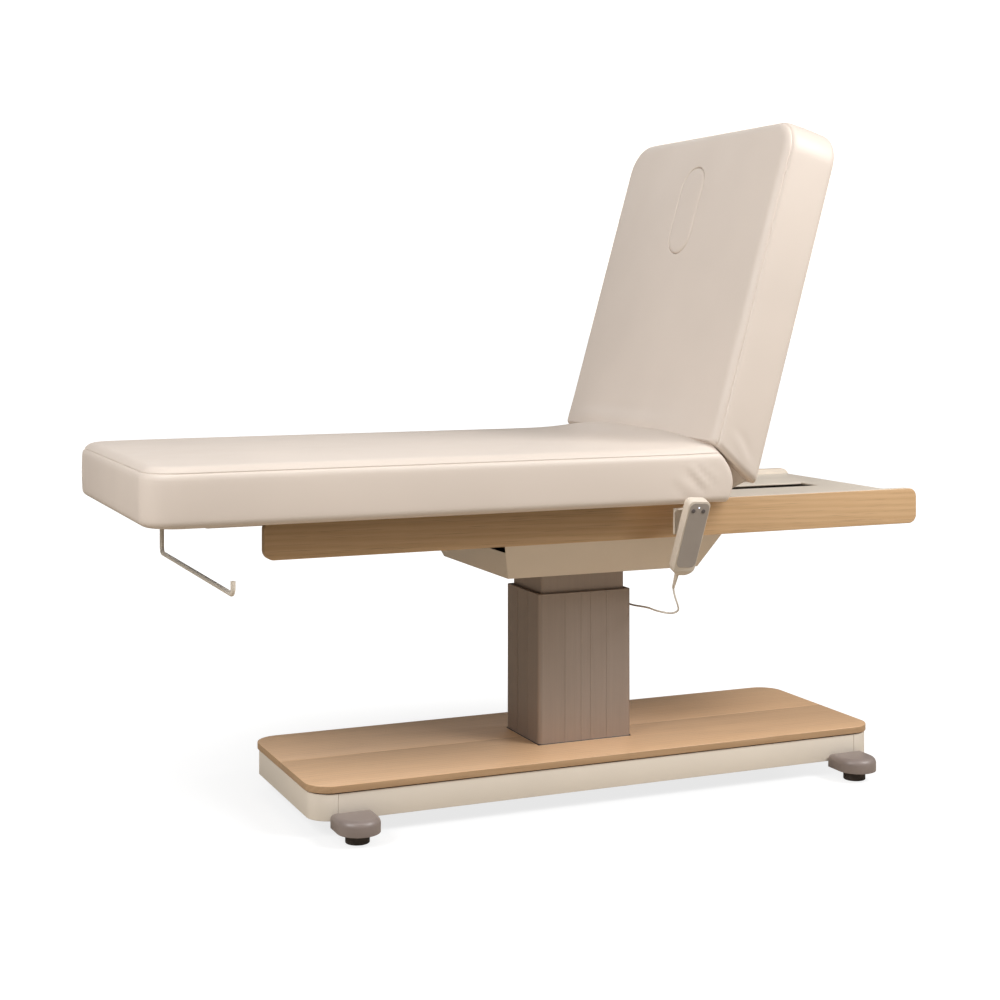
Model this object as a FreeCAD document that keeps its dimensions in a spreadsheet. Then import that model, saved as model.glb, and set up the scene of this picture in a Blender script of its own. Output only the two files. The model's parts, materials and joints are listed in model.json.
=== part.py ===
"""Treatment bed on a lifting column, as a parametric FreeCAD document.

X runs along the bed with the head end at +X, Y runs across it and Z is up. Sizes and places are
given in the column's frame, where X and Y are zero on the column's axis and Z is zero on the
floor. sub_part() moves each finished piece from there to the row's frame, whose origin is on the
floor under the middle of the whole bed. Pieces of the backrest are drawn lying flat about the
hinge, and pieces of the handset upright about its own middle.
"""

import FreeCAD, Part
import math
import os
import re

import Sketcher

V = FreeCAD.Vector
DOC = FreeCAD.newDocument("treatment_bed")
SHEET = DOC.addObject("Spreadsheet::Sheet", "Sheet")

DIMENSIONS = {
    # upholstery
    "cushion_width": 750,
    "cushion_corner": 75,
    "leg_foot": -1050,
    "leg_crease_top": 178,
    "leg_crease_base": 207,
    "leg_base": 662.5,
    "leg_top": 780,
    "board_thick": 12,
    "board_width": 680,
    "leg_board_start": -1000,
    "leg_board_end": 160,
    # backrest, measured from the hinge with the backrest lying flat
    "hinge_along": 220,
    "hinge_height": 723,
    "backrest_angle": 74,
    "backrest_base": -60,
    "backrest_top": 68.5,
    "backrest_heel": -8,
    "backrest_crease": 54,
    "backrest_end": 789,
    "backrest_board_start": 30,
    "backrest_board_end": 755,
    "plug_middle": 592,
    "plug_length": 215,
    "plug_width": 100,
    "plug_gap": 1,
    "plug_ledge": 14,
    # oak rails and the frame between them
    "rail_foot": -797.5,
    "rail_head": 762.6,
    "rail_base": 581.5,
    "rail_top": 662.5,
    "rail_outside": 282,
    "rail_thick": 22,
    "rail_corner": 20,
    "tube_width": 30,
    "tube_wall": 2,
    "tube_base": 601,
    "tube_top": 646,
    "tube_foot": -690,
    "tube_head": 740,
    "panel_thick": 4,
    "panel_start": 60,
    "panel_end": 755,
    "slot_start": 112,
    "slot_end": 657,
    "slot_half": 38,
    # sheet metal housing around the column's head
    "housing_base": 498,
    "housing_half_length": 233,
    "housing_half_width": 187.5,
    "housing_side_top": 598,
    "housing_end_top": 561,
    "housing_sheet": 2.5,
    "flare_along": 0.396,
    "flare_across": 0.72,
    "collar_length": 250,
    "collar_width": 203,
    # telescopic column
    "outer_length": 231,
    "outer_width": 182.4,
    "outer_wall": 6,
    "outer_corner": 10,
    "outer_top": 441.5,
    "middle_length": 207,
    "middle_width": 160,
    "middle_wall": 5,
    "middle_base": 145,
    "middle_top": 500,
    "inner_length": 189,
    "inner_width": 142,
    "inner_wall": 5,
    "inner_base": 205,
    "inner_top": 550,
    "glide_gap": 0.3,
    "groove_width": 1.4,
    "groove_depth": 0.4,
    "groove_inner": 12,
    "groove_outer": 52,
    "groove_end_face": 27,
    "saddle_thick": 10,
    # base
    "deck_length": 1369.5,
    "deck_width": 458.7,
    "deck_corner": 55,
    "deck_top": 107,
    "deck_thick": 15,
    "deck_seam": 0.8,
    "skirt_length": 1361,
    "skirt_width": 453,
    "skirt_base": 35,
    "skirt_top": 89.5,
    "skirt_wall": 3,
    "skirt_corner": 50,
    "skirt_joint": 627,
    "joint_gap": 0.4,
    "plate_base": 86,
    "foot_along": 600,
    "foot_across": 268,
    "cap_half": 45,
    "cap_start": 229,
    "cap_middle": 275,
    "cap_base": 23,
    "cap_top": 54,
    "foot_bar_base": 27,
    "foot_bar_top": 35,
    "pad_radius": 25,
    "pad_height": 19,
    "stem_radius": 6,
    "stem_top": 47,
    # paper roll holder
    "roll_along": -870,
    "roll_height": 525,
    "roll_radius": 5,
    "roll_bend": 14,
    "roll_far": 320,
    "roll_near": -323,
    "roll_lip": 27,
    # handset and its cord
    "handset_along": 107.3,
    "handset_across": -373,
    "handset_height": 593.5,
    "handset_lean": 20.25,
    "handset_width": 52,
    "handset_length": 176,
    "handset_depth": 22,
    "handset_wall": 2,
    "handset_reach": 413,
    "button_radius": 4.5,
    "button_gap": 0.3,
    "cord_radius": 2.2,
}

# The handset cord, from the strain relief down, round and back under the housing to its gland.
CORD_ROUTE = (
    (93, -328, 477.5),
    (97, -328, 459),
    (105, -328, 442),
    (107, -325, 428),
    (96, -315, 422.5),
    (81, -300, 424),
    (77, -270, 424),
    (99, -212, 417),
    (118, -155, 409),
    (133, -95, 401),
    (147, -33, 393),
    (158, 28, 391),
    (162, 78, 402),
    (156, 113, 424),
    (145, 129, 451),
    (140, 130, 484),
)


def cell(text):
    """A formula in bare words, as an expression on the sheet's cells."""
    return re.sub(r"[a-z_]+", lambda word: "Sheet." + word.group(), str(text))


def number(text):
    """The present value of a formula, for shapes that are built in code."""
    return float(SHEET.evalExpression(cell(text)))


def fill_sheet():
    """Writes the driving dimensions to the sheet, one alias a row."""
    for row, (alias, value) in enumerate(DIMENSIONS.items(), start=1):
        SHEET.set(f"A{row}", alias)
        SHEET.set(f"B{row}", str(value))
        SHEET.setAlias(f"B{row}", alias)
    DOC.recompute()


def bind(obj, **sizes):
    """Ties an object's sizes to formulas on the sheet."""
    for prop, text in sizes.items():
        obj.setExpression(prop, cell(text))
    return obj


def put(obj, x=0, y=0, z=0):
    """Ties an object's position to formulas on the sheet."""
    for axis, text in zip("xyz", (x, y, z)):
        obj.setExpression("Placement.Base." + axis, cell(text))
    return obj


def box(name, low, high):
    """A box between two corners, each given as three formulas."""
    obj = DOC.addObject("Part::Box", name)
    length, width, height = (f"({b}) - ({a})" for a, b in zip(low, high))
    return put(bind(obj, Length=length, Width=width, Height=height), *low)


def mid_box(name, length, width, low, high):
    """A box centred on the column's axis."""
    half_x, half_y = f"({length}) / 2", f"({width}) / 2"
    return box(name, (f"-{half_x}", f"-{half_y}", low), (half_x, half_y, high))


def tube(name, low, high, along):
    """A square steel tube between two corners, open at the ends of the axis it runs along."""
    inner_low = []
    inner_high = []
    for axis, start, end in zip("xyz", low, high):
        through = axis == along
        inner_low.append(f"{start} - 1" if through else f"{start} + tube_wall")
        inner_high.append(f"{end} + 1" if through else f"{end} - tube_wall")
    outside = box(name + "_outside", low, high)
    return cut(name, outside, box(name + "_inside", inner_low, inner_high))


def rod(name, radius, start, length, along="z"):
    """A cylinder from a start point, running towards the positive end of an axis."""
    obj = DOC.addObject("Part::Cylinder", name)
    turn = {"x": (V(0, 1, 0), 90), "y": (V(1, 0, 0), -90), "z": (V(0, 0, 1), 0)}[along]
    obj.Placement = FreeCAD.Placement(V(), FreeCAD.Rotation(*turn))
    return put(bind(obj, Radius=radius, Height=length), *start)


def fuse(name, *pieces):
    """Pieces welded or moulded as one."""
    obj = DOC.addObject("Part::MultiFuse", name)
    obj.Shapes = list(pieces)
    return obj


def cut(name, base, *tools):
    """A piece with one or more others taken out of it."""
    obj = DOC.addObject("Part::Cut", name)
    obj.Base = base
    obj.Tool = tools[0] if len(tools) == 1 else fuse(name + "_tools", *tools)
    return obj


def common(name, first, second):
    """What two pieces share."""
    obj = DOC.addObject("Part::MultiCommon", name)
    obj.Shapes = [first, second]
    return obj


def group(name, *pieces):
    """Identical or paired solids kept in one node."""
    obj = DOC.addObject("Part::Compound", name)
    obj.Links = list(pieces)
    return obj


def shape(name, solid):
    """A piece whose shape is made in code."""
    obj = DOC.addObject("Part::Feature", name)
    obj.Shape = solid
    return obj


PLANES = {"xy": "XY_Plane", "xz": "XZ_Plane", "yz": "YZ_Plane"}


def prism(name, plane, outline, low, high):
    """A PartDesign body: one sketched outline padded between two heights over its plane."""
    body = DOC.addObject("PartDesign::Body", name)
    origin = next(o for o in body.Origin.OriginFeatures if o.Role == PLANES[plane])
    sketch = body.newObject("Sketcher::SketchObject", name + "_sketch")
    sketch.AttachmentSupport = (origin, [""])
    sketch.MapMode = "FlatFace"
    start = f"-({high})" if plane == "xz" else low
    sketch.setExpression("AttachmentOffset.Base.z", cell(start))
    outline(sketch)
    pad = body.newObject("PartDesign::Pad", name + "_pad")
    pad.Profile = sketch
    bind(pad, Length=f"({high}) - ({low})")
    return body


def rounded(length, width, radius, mid=("0", "0")):
    """Outline of a rectangle with round corners about a middle point, fully constrained."""

    def draw(sketch):
        a, b, r = number(length) / 2, number(width) / 2, number(radius)
        x, y = number(mid[0]), number(mid[1])
        corners = ((a, b), (-a, b), (-a, -b), (a, -b))
        for i, (cx, cy) in enumerate(corners):
            centre = V(x + cx - math.copysign(r, cx), y + cy - math.copysign(r, cy), 0)
            circle = Part.Circle(centre, V(0, 0, 1), r)
            sketch.addGeometry(Part.ArcOfCircle(circle, i * math.pi / 2, (i + 1) * math.pi / 2))
        for i in range(4):
            begin = sketch.Geometry[i].EndPoint
            end = sketch.Geometry[(i + 1) % 4].StartPoint
            sketch.addGeometry(Part.LineSegment(begin, end))
        for i in range(4):
            sketch.addConstraint(Sketcher.Constraint("Tangent", i, 2, 4 + i, 1))
            sketch.addConstraint(Sketcher.Constraint("Tangent", 4 + i, 2, (i + 1) % 4, 1))
            level = "Horizontal" if i % 2 == 0 else "Vertical"
            sketch.addConstraint(Sketcher.Constraint(level, 4 + i))
        for i in (1, 2, 3):
            sketch.addConstraint(Sketcher.Constraint("Equal", 0, i))
        right, upper = f"{mid[0]} + ({length}) / 2", f"{mid[1]} + ({width}) / 2"
        sizes = (
            ("corner", Sketcher.Constraint("Radius", 0, r), radius),
            ("length", Sketcher.Constraint("DistanceX", 5, 1, 7, 2, 2 * a), length),
            ("width", Sketcher.Constraint("DistanceY", 6, 1, 4, 2, 2 * b), width),
            ("right", Sketcher.Constraint("DistanceX", -1, 1, 7, 2, x + a), right),
            ("upper", Sketcher.Constraint("DistanceY", -1, 1, 4, 2, y + b), upper),
        )
        for label, constraint, text in sizes:
            index = sketch.addConstraint(constraint)
            sketch.renameConstraint(index, label)
            sketch.setExpression("Constraints." + label, cell(text))

    return draw


def polygon(*points):
    """Outline through corners, each a pair of formulas tied to the sketch's origin."""

    def draw(sketch):
        spots = [V(number(x), number(y), 0) for x, y in points]
        for i, spot in enumerate(spots):
            sketch.addGeometry(Part.LineSegment(spot, spots[(i + 1) % len(spots)]))
        for i, (x, y) in enumerate(points):
            follower = (i + 1) % len(points)
            sketch.addConstraint(Sketcher.Constraint("Coincident", i, 2, follower, 1))
            for kind, text in (("DistanceX", x), ("DistanceY", y)):
                index = sketch.addConstraint(Sketcher.Constraint(kind, -1, 1, i, 1, number(text)))
                label = f"{kind[-1].lower()}{i}"
                sketch.renameConstraint(index, label)
                sketch.setExpression("Constraints." + label, cell(text))

    return draw


# Where a finished piece goes: a point in the column's frame, a turn, and the axis of the turn.
COLUMN = ("0", "0", "0", "0", V(0, 1, 0))
BACKREST = ("hinge_along", "0", "hinge_height", "-backrest_angle", V(0, 1, 0))
HANDSET_AXIS = V(0.982, 0.188, 0)
HANDSET = ("handset_along", "handset_across", "handset_height", "handset_lean", HANDSET_AXIS)
ORIGIN_X = "-(leg_foot + rail_head) / 2"
ORIGIN_Y = "(handset_reach - cushion_width / 2) / 2"
FINISHED = []


def sub_part(label, obj, where=COLUMN):
    """Names a finished piece and gives it its place in the row's frame."""
    own = dict(obj.ExpressionEngine)
    x, y, z, turn, axis_of_turn = where
    place = (f"{x} + {ORIGIN_X}", f"{y} + {ORIGIN_Y}", z)
    for axis, text in zip("xyz", place):
        path = "Placement.Base." + axis
        local = own.get(path) or own.get("." + path) or "0"
        obj.setExpression(path, f"({local}) + {cell(text)}")
    if turn != "0":
        obj.Placement = FreeCAD.Placement(obj.Placement.Base, FreeCAD.Rotation(axis_of_turn, 1))
        obj.setExpression("Placement.Rotation.Angle", cell(turn))
    obj.Label = label
    FINISHED.append(obj)


def square_tube(name, length, width, wall, corner, low, high):
    """A rectangular tube standing on the column's axis, as two bodies one inside the other."""
    outside = prism(name + "_outside", "xy", rounded(length, width, corner), low, high)
    hole = rounded(f"{length} - 2 * {wall}", f"{width} - 2 * {wall}", f"({corner}) / 2")
    inside = prism(name + "_inside", "xy", hole, f"{low} - 1", f"{high} + 1")
    return outside, inside


# ---- base -------------------------------------------------------------------------------------


def make_deck():
    """Two oak boards that meet along the middle and fit round the column."""
    outline = rounded("deck_length", "deck_width", "deck_corner")
    for name, low, high in (
        ("base_board_near", "-deck_width", "-deck_seam / 2"),
        ("base_board_far", "deck_seam / 2", "deck_width"),
    ):
        whole = prism(name + "_whole", "xy", outline, "deck_top - deck_thick", "deck_top")
        half = box(name + "_half", ("-deck_length", low, 0), ("deck_length", high, "deck_top + 1"))
        hole = mid_box(name + "_hole", "outer_length + 2", "outer_width + 2", 0, "deck_top + 1")
        sub_part(name, cut(name + "_cut", common(name + "_board", whole, half), hole))


def make_skirt():
    """The painted skirt: two long side panels and two wrap-around ends, butted at the joints."""
    sides = (("skirt_side_near", -1), ("skirt_side_far", 1))
    for name, side in sides:
        outer, inner = "skirt_width / 2", "skirt_width / 2 - skirt_wall"
        low, high = (f"-({outer})", f"-({inner})") if side < 0 else (inner, outer)
        length = "skirt_joint - joint_gap / 2"
        ends = ((f"-({length})", low, "skirt_base"), (length, high, "skirt_top"))
        sub_part(name, box(name, *ends))
    for name, low, high in (
        ("skirt_end_foot", "-skirt_length", "-skirt_joint - joint_gap / 2"),
        ("skirt_end_head", "skirt_joint + joint_gap / 2", "skirt_length"),
    ):
        outline = rounded("skirt_length", "skirt_width", "skirt_corner")
        inset = rounded(
            "skirt_length - 2 * skirt_wall",
            "skirt_width - 2 * skirt_wall",
            "skirt_corner - skirt_wall",
        )
        whole = prism(name + "_whole", "xy", outline, "skirt_base", "skirt_top")
        hollow = prism(name + "_hollow", "xy", inset, 0, "skirt_top + 1")
        end = box(name + "_end", (low, "-skirt_width", 0), (high, "skirt_width", "skirt_top + 1"))
        sub_part(name, common(name, cut(name + "_ring", whole, hollow), end))


def make_base_frame():
    """Steel plate under the boards with two welded rails, and a flat bar across each pair of feet."""
    plate = prism(
        "base_plate",
        "xy",
        rounded(
            "skirt_length - 2 * skirt_wall - 2",
            "skirt_width - 2 * skirt_wall - 2",
            "skirt_corner - skirt_wall",
        ),
        "plate_base",
        "deck_top - deck_thick",
    )
    runners = [
        box(f"base_runner_{i}", (-640, y - 20, "foot_bar_top"), (640, y + 20, "plate_base"))
        for i, y in enumerate((-120, 120))
    ]
    sub_part("base_frame", fuse("base_frame", plate, *runners))
    bars = []
    for end, side in (("foot", "-"), ("head", "")):
        middle = f"{side}foot_along"
        bar = box(
            f"foot_bar_{end}_blank",
            (f"{middle} - 20", "-foot_across - 32", "foot_bar_base"),
            (f"{middle} + 20", "foot_across + 32", "foot_bar_top"),
        )
        holes = [
            rod(f"foot_bar_{end}_hole_{i}", "stem_radius + 0.1", (middle, y, 0), "stem_top")
            for i, y in enumerate(("-foot_across", "foot_across"))
        ]
        bars.append(cut(f"foot_bar_{end}", bar, *holes))
    sub_part("foot_bars", group("foot_bars", *bars))


FEET = (
    ("near_foot", "-", -1),
    ("near_head", "", -1),
    ("far_foot", "-", 1),
    ("far_head", "", 1),
)


def cap_solid(name):
    """A domed foot cap, flat on the skirt side and round on the other, about the bed's middle."""
    half, start, middle = number("cap_half"), number("cap_start"), number("cap_middle")
    base, top = number("cap_base"), number("cap_top")
    dome = 13
    front = Part.makeBox(2 * half, 2 * half, top - base, V(-half, middle, base))
    disc = Part.makeCylinder(half, top - base, V(0, middle, base)).common(front)
    block = Part.makeBox(2 * half, middle - start, top - base, V(-half, start, base))
    solid = disc.fuse(block).removeSplitter()
    upper = [e for e in solid.Edges if e.BoundBox.ZMin > top - 0.01]
    return shape(name, solid.makeFillet(dome, upper))


def make_feet():
    """Four moulded caps over the bars' ends, each over a pad on a levelling stem."""
    caps = []
    for spot, end, side in FEET:
        middle = f"{end}foot_along"
        across = "-foot_across" if side < 0 else "foot_across"
        cap = cap_solid(f"cap_{spot}_solid")
        turn = 180 if side < 0 else 0
        cap.Placement = FreeCAD.Placement(V(), FreeCAD.Rotation(V(0, 0, 1), turn))
        put(cap, middle)
        y_low, y_high = ("-foot_across - 32", 0) if side < 0 else (0, "foot_across + 32")
        bar = box(
            f"cap_{spot}_bar",
            (f"{middle} - 20", y_low, "foot_bar_base"),
            (f"{middle} + 20", y_high, "foot_bar_top"),
        )
        well = rod(f"cap_{spot}_well", "stem_radius + 0.5", (middle, across, 0), "stem_top + 2")
        caps.append(cut(f"foot_cap_{spot}", cap, bar, well))

        disc = rod(f"pad_{spot}_disc", "pad_radius", (middle, across, 0), "pad_height")
        stem = rod(f"pad_{spot}_stem", "stem_radius", (middle, across, 1), "stem_top - 1")
        sub_part(f"foot_pad_{spot}", fuse(f"foot_pad_{spot}", disc, stem))
    sub_part("foot_caps", group("foot_caps", *caps))


# ---- column -----------------------------------------------------------------------------------


def make_outer_tube():
    """The outer extrusion, with shallow grooves running up its faces."""
    low = "deck_top - deck_thick"
    outside, inside = square_tube(
        "column_outer", "outer_length", "outer_width", "outer_wall", "outer_corner", low, "outer_top"
    )
    grooves = []
    face = "outer_width / 2"
    for i, x in enumerate(("-groove_outer", "-groove_inner", "groove_inner", "groove_outer")):
        left, right = f"{x} - groove_width / 2", f"{x} + groove_width / 2"
        for side, (y_low, y_high) in (
            ("near", (f"-{face} - 1", f"-{face} + groove_depth")),
            ("far", (f"{face} - groove_depth", f"{face} + 1")),
        ):
            ends = ((left, y_low, low), (right, y_high, "outer_top + 1"))
            grooves.append(box(f"groove_{side}_{i}", *ends))
    face = "outer_length / 2"
    for i, y in enumerate(("-groove_end_face", "groove_end_face")):
        left, right = f"{y} - groove_width / 2", f"{y} + groove_width / 2"
        for side, (x_low, x_high) in (
            ("foot", (f"-{face} - 1", f"-{face} + groove_depth")),
            ("head", (f"{face} - groove_depth", f"{face} + 1")),
        ):
            ends = ((x_low, left, low), (x_high, right, "outer_top + 1"))
            grooves.append(box(f"groove_{side}_{i}", *ends))
    sub_part("column_outer", cut("column_outer", outside, inside, *grooves))


def make_inner_tubes():
    """The middle and inner tubes, which slide one inside the other."""
    for name, corner in (("middle", 7), ("inner", 6)):
        sizes = [f"{name}_{key}" for key in ("length", "width", "wall")]
        outside, inside = square_tube(f"{name}_tube", *sizes, corner, f"{name}_base", f"{name}_top")
        sub_part(f"column_{name}", cut(f"column_{name}", outside, inside))


def make_glides():
    """Plastic guide rings, held in the mouth of one tube and sliding on the next."""
    for name, length, width, wall, corner, inner, low, high in (
        ("outer", "outer_length", "outer_width", "outer_wall", 5, "middle", 396, 436),
        ("middle", "middle_length", "middle_width", "middle_wall", 3.5, "inner", 456, 496),
    ):
        bore = [f"{inner}_{key} + 2 * glide_gap" for key in ("length", "width")]
        outline = rounded(f"{length} - 2 * {wall}", f"{width} - 2 * {wall}", corner)
        ring = prism(f"{name}_glide_outside", "xy", outline, low, high)
        hole = prism(f"{name}_glide_hole", "xy", rounded(*bore, 5), low - 1, high + 1)
        sub_part(f"{name}_glide_ring", cut(f"{name}_glide_ring", ring, hole))


def make_lift():
    """The telescopic screw inside the column, its motor, and the saddle on the inner tube."""
    floor = "deck_top - deck_thick"
    sub_part("lift_screw", rod("lift_screw", 10, (0, 0, floor), f"375 - ({floor})"))

    size = ("middle_length - 2 * middle_wall", "middle_width - 2 * middle_wall")
    flange = prism("sleeve_flange", "xy", rounded(*size, 5), 147, 155)
    sleeve = rod("sleeve_tube", 17, (0, 0, 150), 270)
    bore = rod("sleeve_bore", 11.5, (0, 0, 140), 290)
    sub_part("lift_screw_sleeve", cut("lift_screw_sleeve", fuse("sleeve_body", flange, sleeve), bore))

    motor_base = 472
    push = rod("push_outside", 22.5, (0, 0, 215), motor_base - 215)
    bore = rod("push_bore", 18.5, (0, 0, 210), motor_base - 209)
    sub_part("lift_push_tube", cut("lift_push_tube", push, bore))
    sub_part("lift_motor", rod("lift_motor", 38, (0, 0, motor_base), f"inner_top - {motor_base}"))

    plate_top = "inner_top + saddle_thick"
    plate = mid_box("saddle_plate", 300, 220, "inner_top", plate_top)
    risers = [
        box(f"saddle_riser_{i}", (x, -100, plate_top), (x + 40, 100, "tube_base"))
        for i, x in enumerate((-140, 60))
    ]
    sub_part("lift_saddle", fuse("lift_saddle", plate, *risers))


# ---- housing and frame ------------------------------------------------------------------------


def flared_panel(name, along, low_x, high_x, low_y, high_y, base, top):
    """A panel that leans outwards: its section at the base, spread by the flare up to the top."""
    rise = f"(({top}) - ({base}))"
    spread_x = f"flare_along * {rise}"
    spread_y = f"flare_across * {rise}"
    wedge = DOC.addObject("Part::Wedge", name)
    wedge.Placement = FreeCAD.Placement(V(), FreeCAD.Rotation(V(1, 0, 0), 90))
    x_far = spread_x if along else "0"
    bind(wedge, Xmin=low_x, Xmax=high_x, Ymin=0, Ymax=rise)
    bind(wedge, Zmin=f"-({high_y})", Zmax=f"-({low_y})")
    if along:
        bind(wedge, X2min=f"{low_x} + {along} * {x_far}", X2max=f"{high_x} + {along} * {x_far}")
        bind(wedge, Z2min=f"-({high_y}) - {spread_y}", Z2max=f"-({low_y}) + {spread_y}")
    else:
        side = "1" if number(low_y) > 0 else "-1"
        bind(wedge, X2min=f"{low_x} - {spread_x}", X2max=f"{high_x} + {spread_x}")
        bind(wedge, Z2min=f"-({high_y}) - {side} * {spread_y}")
        bind(wedge, Z2max=f"-({low_y}) - {side} * {spread_y}")
    return put(wedge, 0, 0, base)


def make_housing():
    """The flared sheet housing: floor with an opening for the column, two sides and two ends."""
    length, width, sheet = "housing_half_length", "housing_half_width", "housing_sheet"
    near = (f"-{width}", f"-{width} + {sheet}")
    far = (f"{width} - {sheet}", width)
    for name, (low, high) in (("housing_side_near", near), ("housing_side_far", far)):
        ends = (f"-{length}", length, low, high, "housing_base", "housing_side_top")
        sub_part(name, flared_panel(name, 0, *ends))
    inside = (near[1], far[0])
    for name, side, (low, high) in (
        ("housing_end_foot", -1, (f"-{length}", f"-{length} + {sheet}")),
        ("housing_end_head", 1, (f"{length} - {sheet}", length)),
    ):
        ends = (low, high, *inside, "housing_base", "housing_end_top")
        sub_part(name, flared_panel(name, side, *ends))
    floor = mid_box(
        "housing_floor_sheet",
        f"2 * ({length} - {sheet})",
        f"2 * ({width} - {sheet})",
        "housing_base",
        f"housing_base + {sheet}",
    )
    opening = mid_box("housing_opening", "collar_length", "collar_width", 480, 520)
    cable = rod("housing_cable_hole", 5, (140, 130, 480), 40)
    sub_part("housing_floor", cut("housing_floor", floor, opening, cable))


def make_frame():
    """Oak rails, steel tubes inside them, and the laminate panel under the backrest."""
    middle = "(rail_foot + rail_head) / 2", "(rail_base + rail_top) / 2"
    outline = rounded("rail_head - rail_foot", "rail_top - rail_base", "rail_corner", middle)
    inner = "rail_outside - rail_thick"
    sub_part("rail_near", prism("rail_near", "xz", outline, "-rail_outside", f"-({inner})"))
    sub_part("rail_far", prism("rail_far", "xz", outline, inner, "rail_outside"))

    tube_in = f"{inner} - tube_width"
    sides = [
        tube(name, ("tube_foot", low, "tube_base"), ("tube_head", high, "tube_top"), "x")
        for name, low, high in (
            ("side_tube_near", f"-({inner})", f"-({tube_in})"),
            ("side_tube_far", tube_in, inner),
        )
    ]
    sub_part("side_tubes", group("side_tubes", *sides))
    crosses = []
    for i, x in enumerate(("tube_foot", "-460", "-140", "60", "tube_head - 40")):
        low, high = (x, f"-({tube_in})", "tube_base"), (f"{x} + 40", tube_in, "tube_top")
        crosses.append(tube(f"cross_tube_{i}", low, high, "y"))
    sub_part("cross_tubes", group("cross_tubes", *crosses))

    panel = box(
        "head_panel_sheet",
        ("panel_start", f"-({inner})", "tube_top"),
        ("panel_end", inner, "tube_top + panel_thick"),
    )
    slot = box(
        "head_panel_slot",
        ("slot_start", "-slot_half", "tube_top - 1"),
        ("slot_end", "slot_half", "tube_top + panel_thick + 1"),
    )
    notches = [
        box(
            f"head_panel_notch_{i}",
            ("hinge_along - 13", y, "tube_top - 1"),
            ("hinge_along + 13", f"{y} + 8", "tube_top + panel_thick + 1"),
        )
        for i, y in enumerate((-247, 239))
    ]
    sub_part("head_panel", cut("head_panel", panel, slot, *notches))


# ---- upholstery -------------------------------------------------------------------------------


def make_leg_cushion():
    """The long seat and leg cushion, leaning at the crease, on its recessed base board."""
    side = polygon(
        ("leg_foot", "leg_base"),
        ("leg_crease_base", "leg_base"),
        ("leg_crease_top", "leg_top"),
        ("leg_foot", "leg_top"),
    )
    half = "cushion_width / 2"
    block = prism("leg_side_view", "xz", side, f"-{half}", half)
    reach = "(leg_crease_base - leg_foot) + 2 * cushion_corner"
    middle = ("leg_foot + (leg_crease_base - leg_foot) / 2 + cushion_corner", "0")
    plan = rounded(reach, "cushion_width", "cushion_corner", middle)
    plan_view = prism("leg_plan_view", "xy", plan, "leg_base - 1", "leg_top + 1")
    foam = common("leg_foam", block, plan_view)
    low = ("leg_board_start", "-board_width / 2", "leg_base")
    high = ("leg_board_end", "board_width / 2", "leg_base + board_thick")
    sub_part("leg_cushion", cut("leg_cushion", foam, box("leg_recess", low, high)))
    sub_part("leg_board", box("leg_board", low, high))


def make_backrest():
    """The backrest cushion with its breathing hole, its board and the plug in the hole."""
    side = polygon(
        ("backrest_heel", "backrest_base"),
        ("backrest_end", "backrest_base"),
        ("backrest_end", "backrest_top"),
        ("backrest_crease", "backrest_top"),
    )
    half = "cushion_width / 2"
    block = prism("back_side_view", "xz", side, f"-{half}", half)
    reach = "(backrest_end - backrest_heel) + 2 * cushion_corner"
    middle = ("(backrest_end + backrest_heel) / 2 - cushion_corner", "0")
    plan = rounded(reach, "cushion_width", "cushion_corner", middle)
    plan_view = prism("back_plan_view", "xy", plan, "backrest_base - 1", "backrest_top + 1")
    foam = common("back_foam", block, plan_view)

    board_top = "backrest_base + board_thick"
    low = ("backrest_board_start", "-board_width / 2", "backrest_base")
    high = ("backrest_board_end", "board_width / 2", board_top)
    recess = box("back_recess", low, high)
    hole = rounded("plug_length", "plug_width", "plug_width / 2 - 0.01", ("plug_middle", "0"))
    hole_cut = prism("back_hole", "xy", hole, board_top, "backrest_top + 1")
    pockets = [
        box(f"hinge_pocket_{i}", (-20, y, "backrest_base - 1"), (80, f"{y} + 30", 16))
        for i, y in enumerate(("-262", "232"))
    ]
    sub_part("backrest_cushion", cut("backrest_cushion", foam, recess, hole_cut, *pockets), BACKREST)

    ledge = ("plug_length - 2 * plug_ledge", "plug_width - 2 * plug_ledge")
    vent = rounded(*ledge, "plug_width / 2 - plug_ledge - 0.01", ("plug_middle", "0"))
    vent_cut = prism("board_vent", "xy", vent, "backrest_base - 1", f"{board_top} + 1")
    board = box("back_board_sheet", low, high)
    notches = [
        box(f"board_notch_{i}", (0, y, "backrest_base - 1"), (80, f"{y} + 30", f"{board_top} + 1"))
        for i, y in enumerate(("-262", "232"))
    ]
    sub_part("backrest_board", cut("backrest_board", board, vent_cut, *notches), BACKREST)

    size = ("plug_length - 2 * plug_gap", "plug_width - 2 * plug_gap")
    plug = rounded(*size, "plug_width / 2 - plug_gap - 0.01", ("plug_middle", "0"))
    sub_part("breath_plug", prism("breath_plug", "xy", plug, board_top, "backrest_top"), BACKREST)


def hinge_plate(name, low, high, stem, eye=12, bore=6):
    """A plate seen from the side: an eye round the hinge, joined to a stem polygon."""
    disc = rod(f"{name}_eye", eye, (0, low, 0), f"({high}) - ({low})", "y")
    arm = prism(f"{name}_arm", "xz", polygon(*stem), low, high)
    hole = rod(f"{name}_bore", bore, (0, f"({low}) - 1", 0), f"({high}) - ({low}) + 2", "y")
    return cut(f"{name}_plate", fuse(f"{name}_blank", disc, arm), hole)


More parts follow.
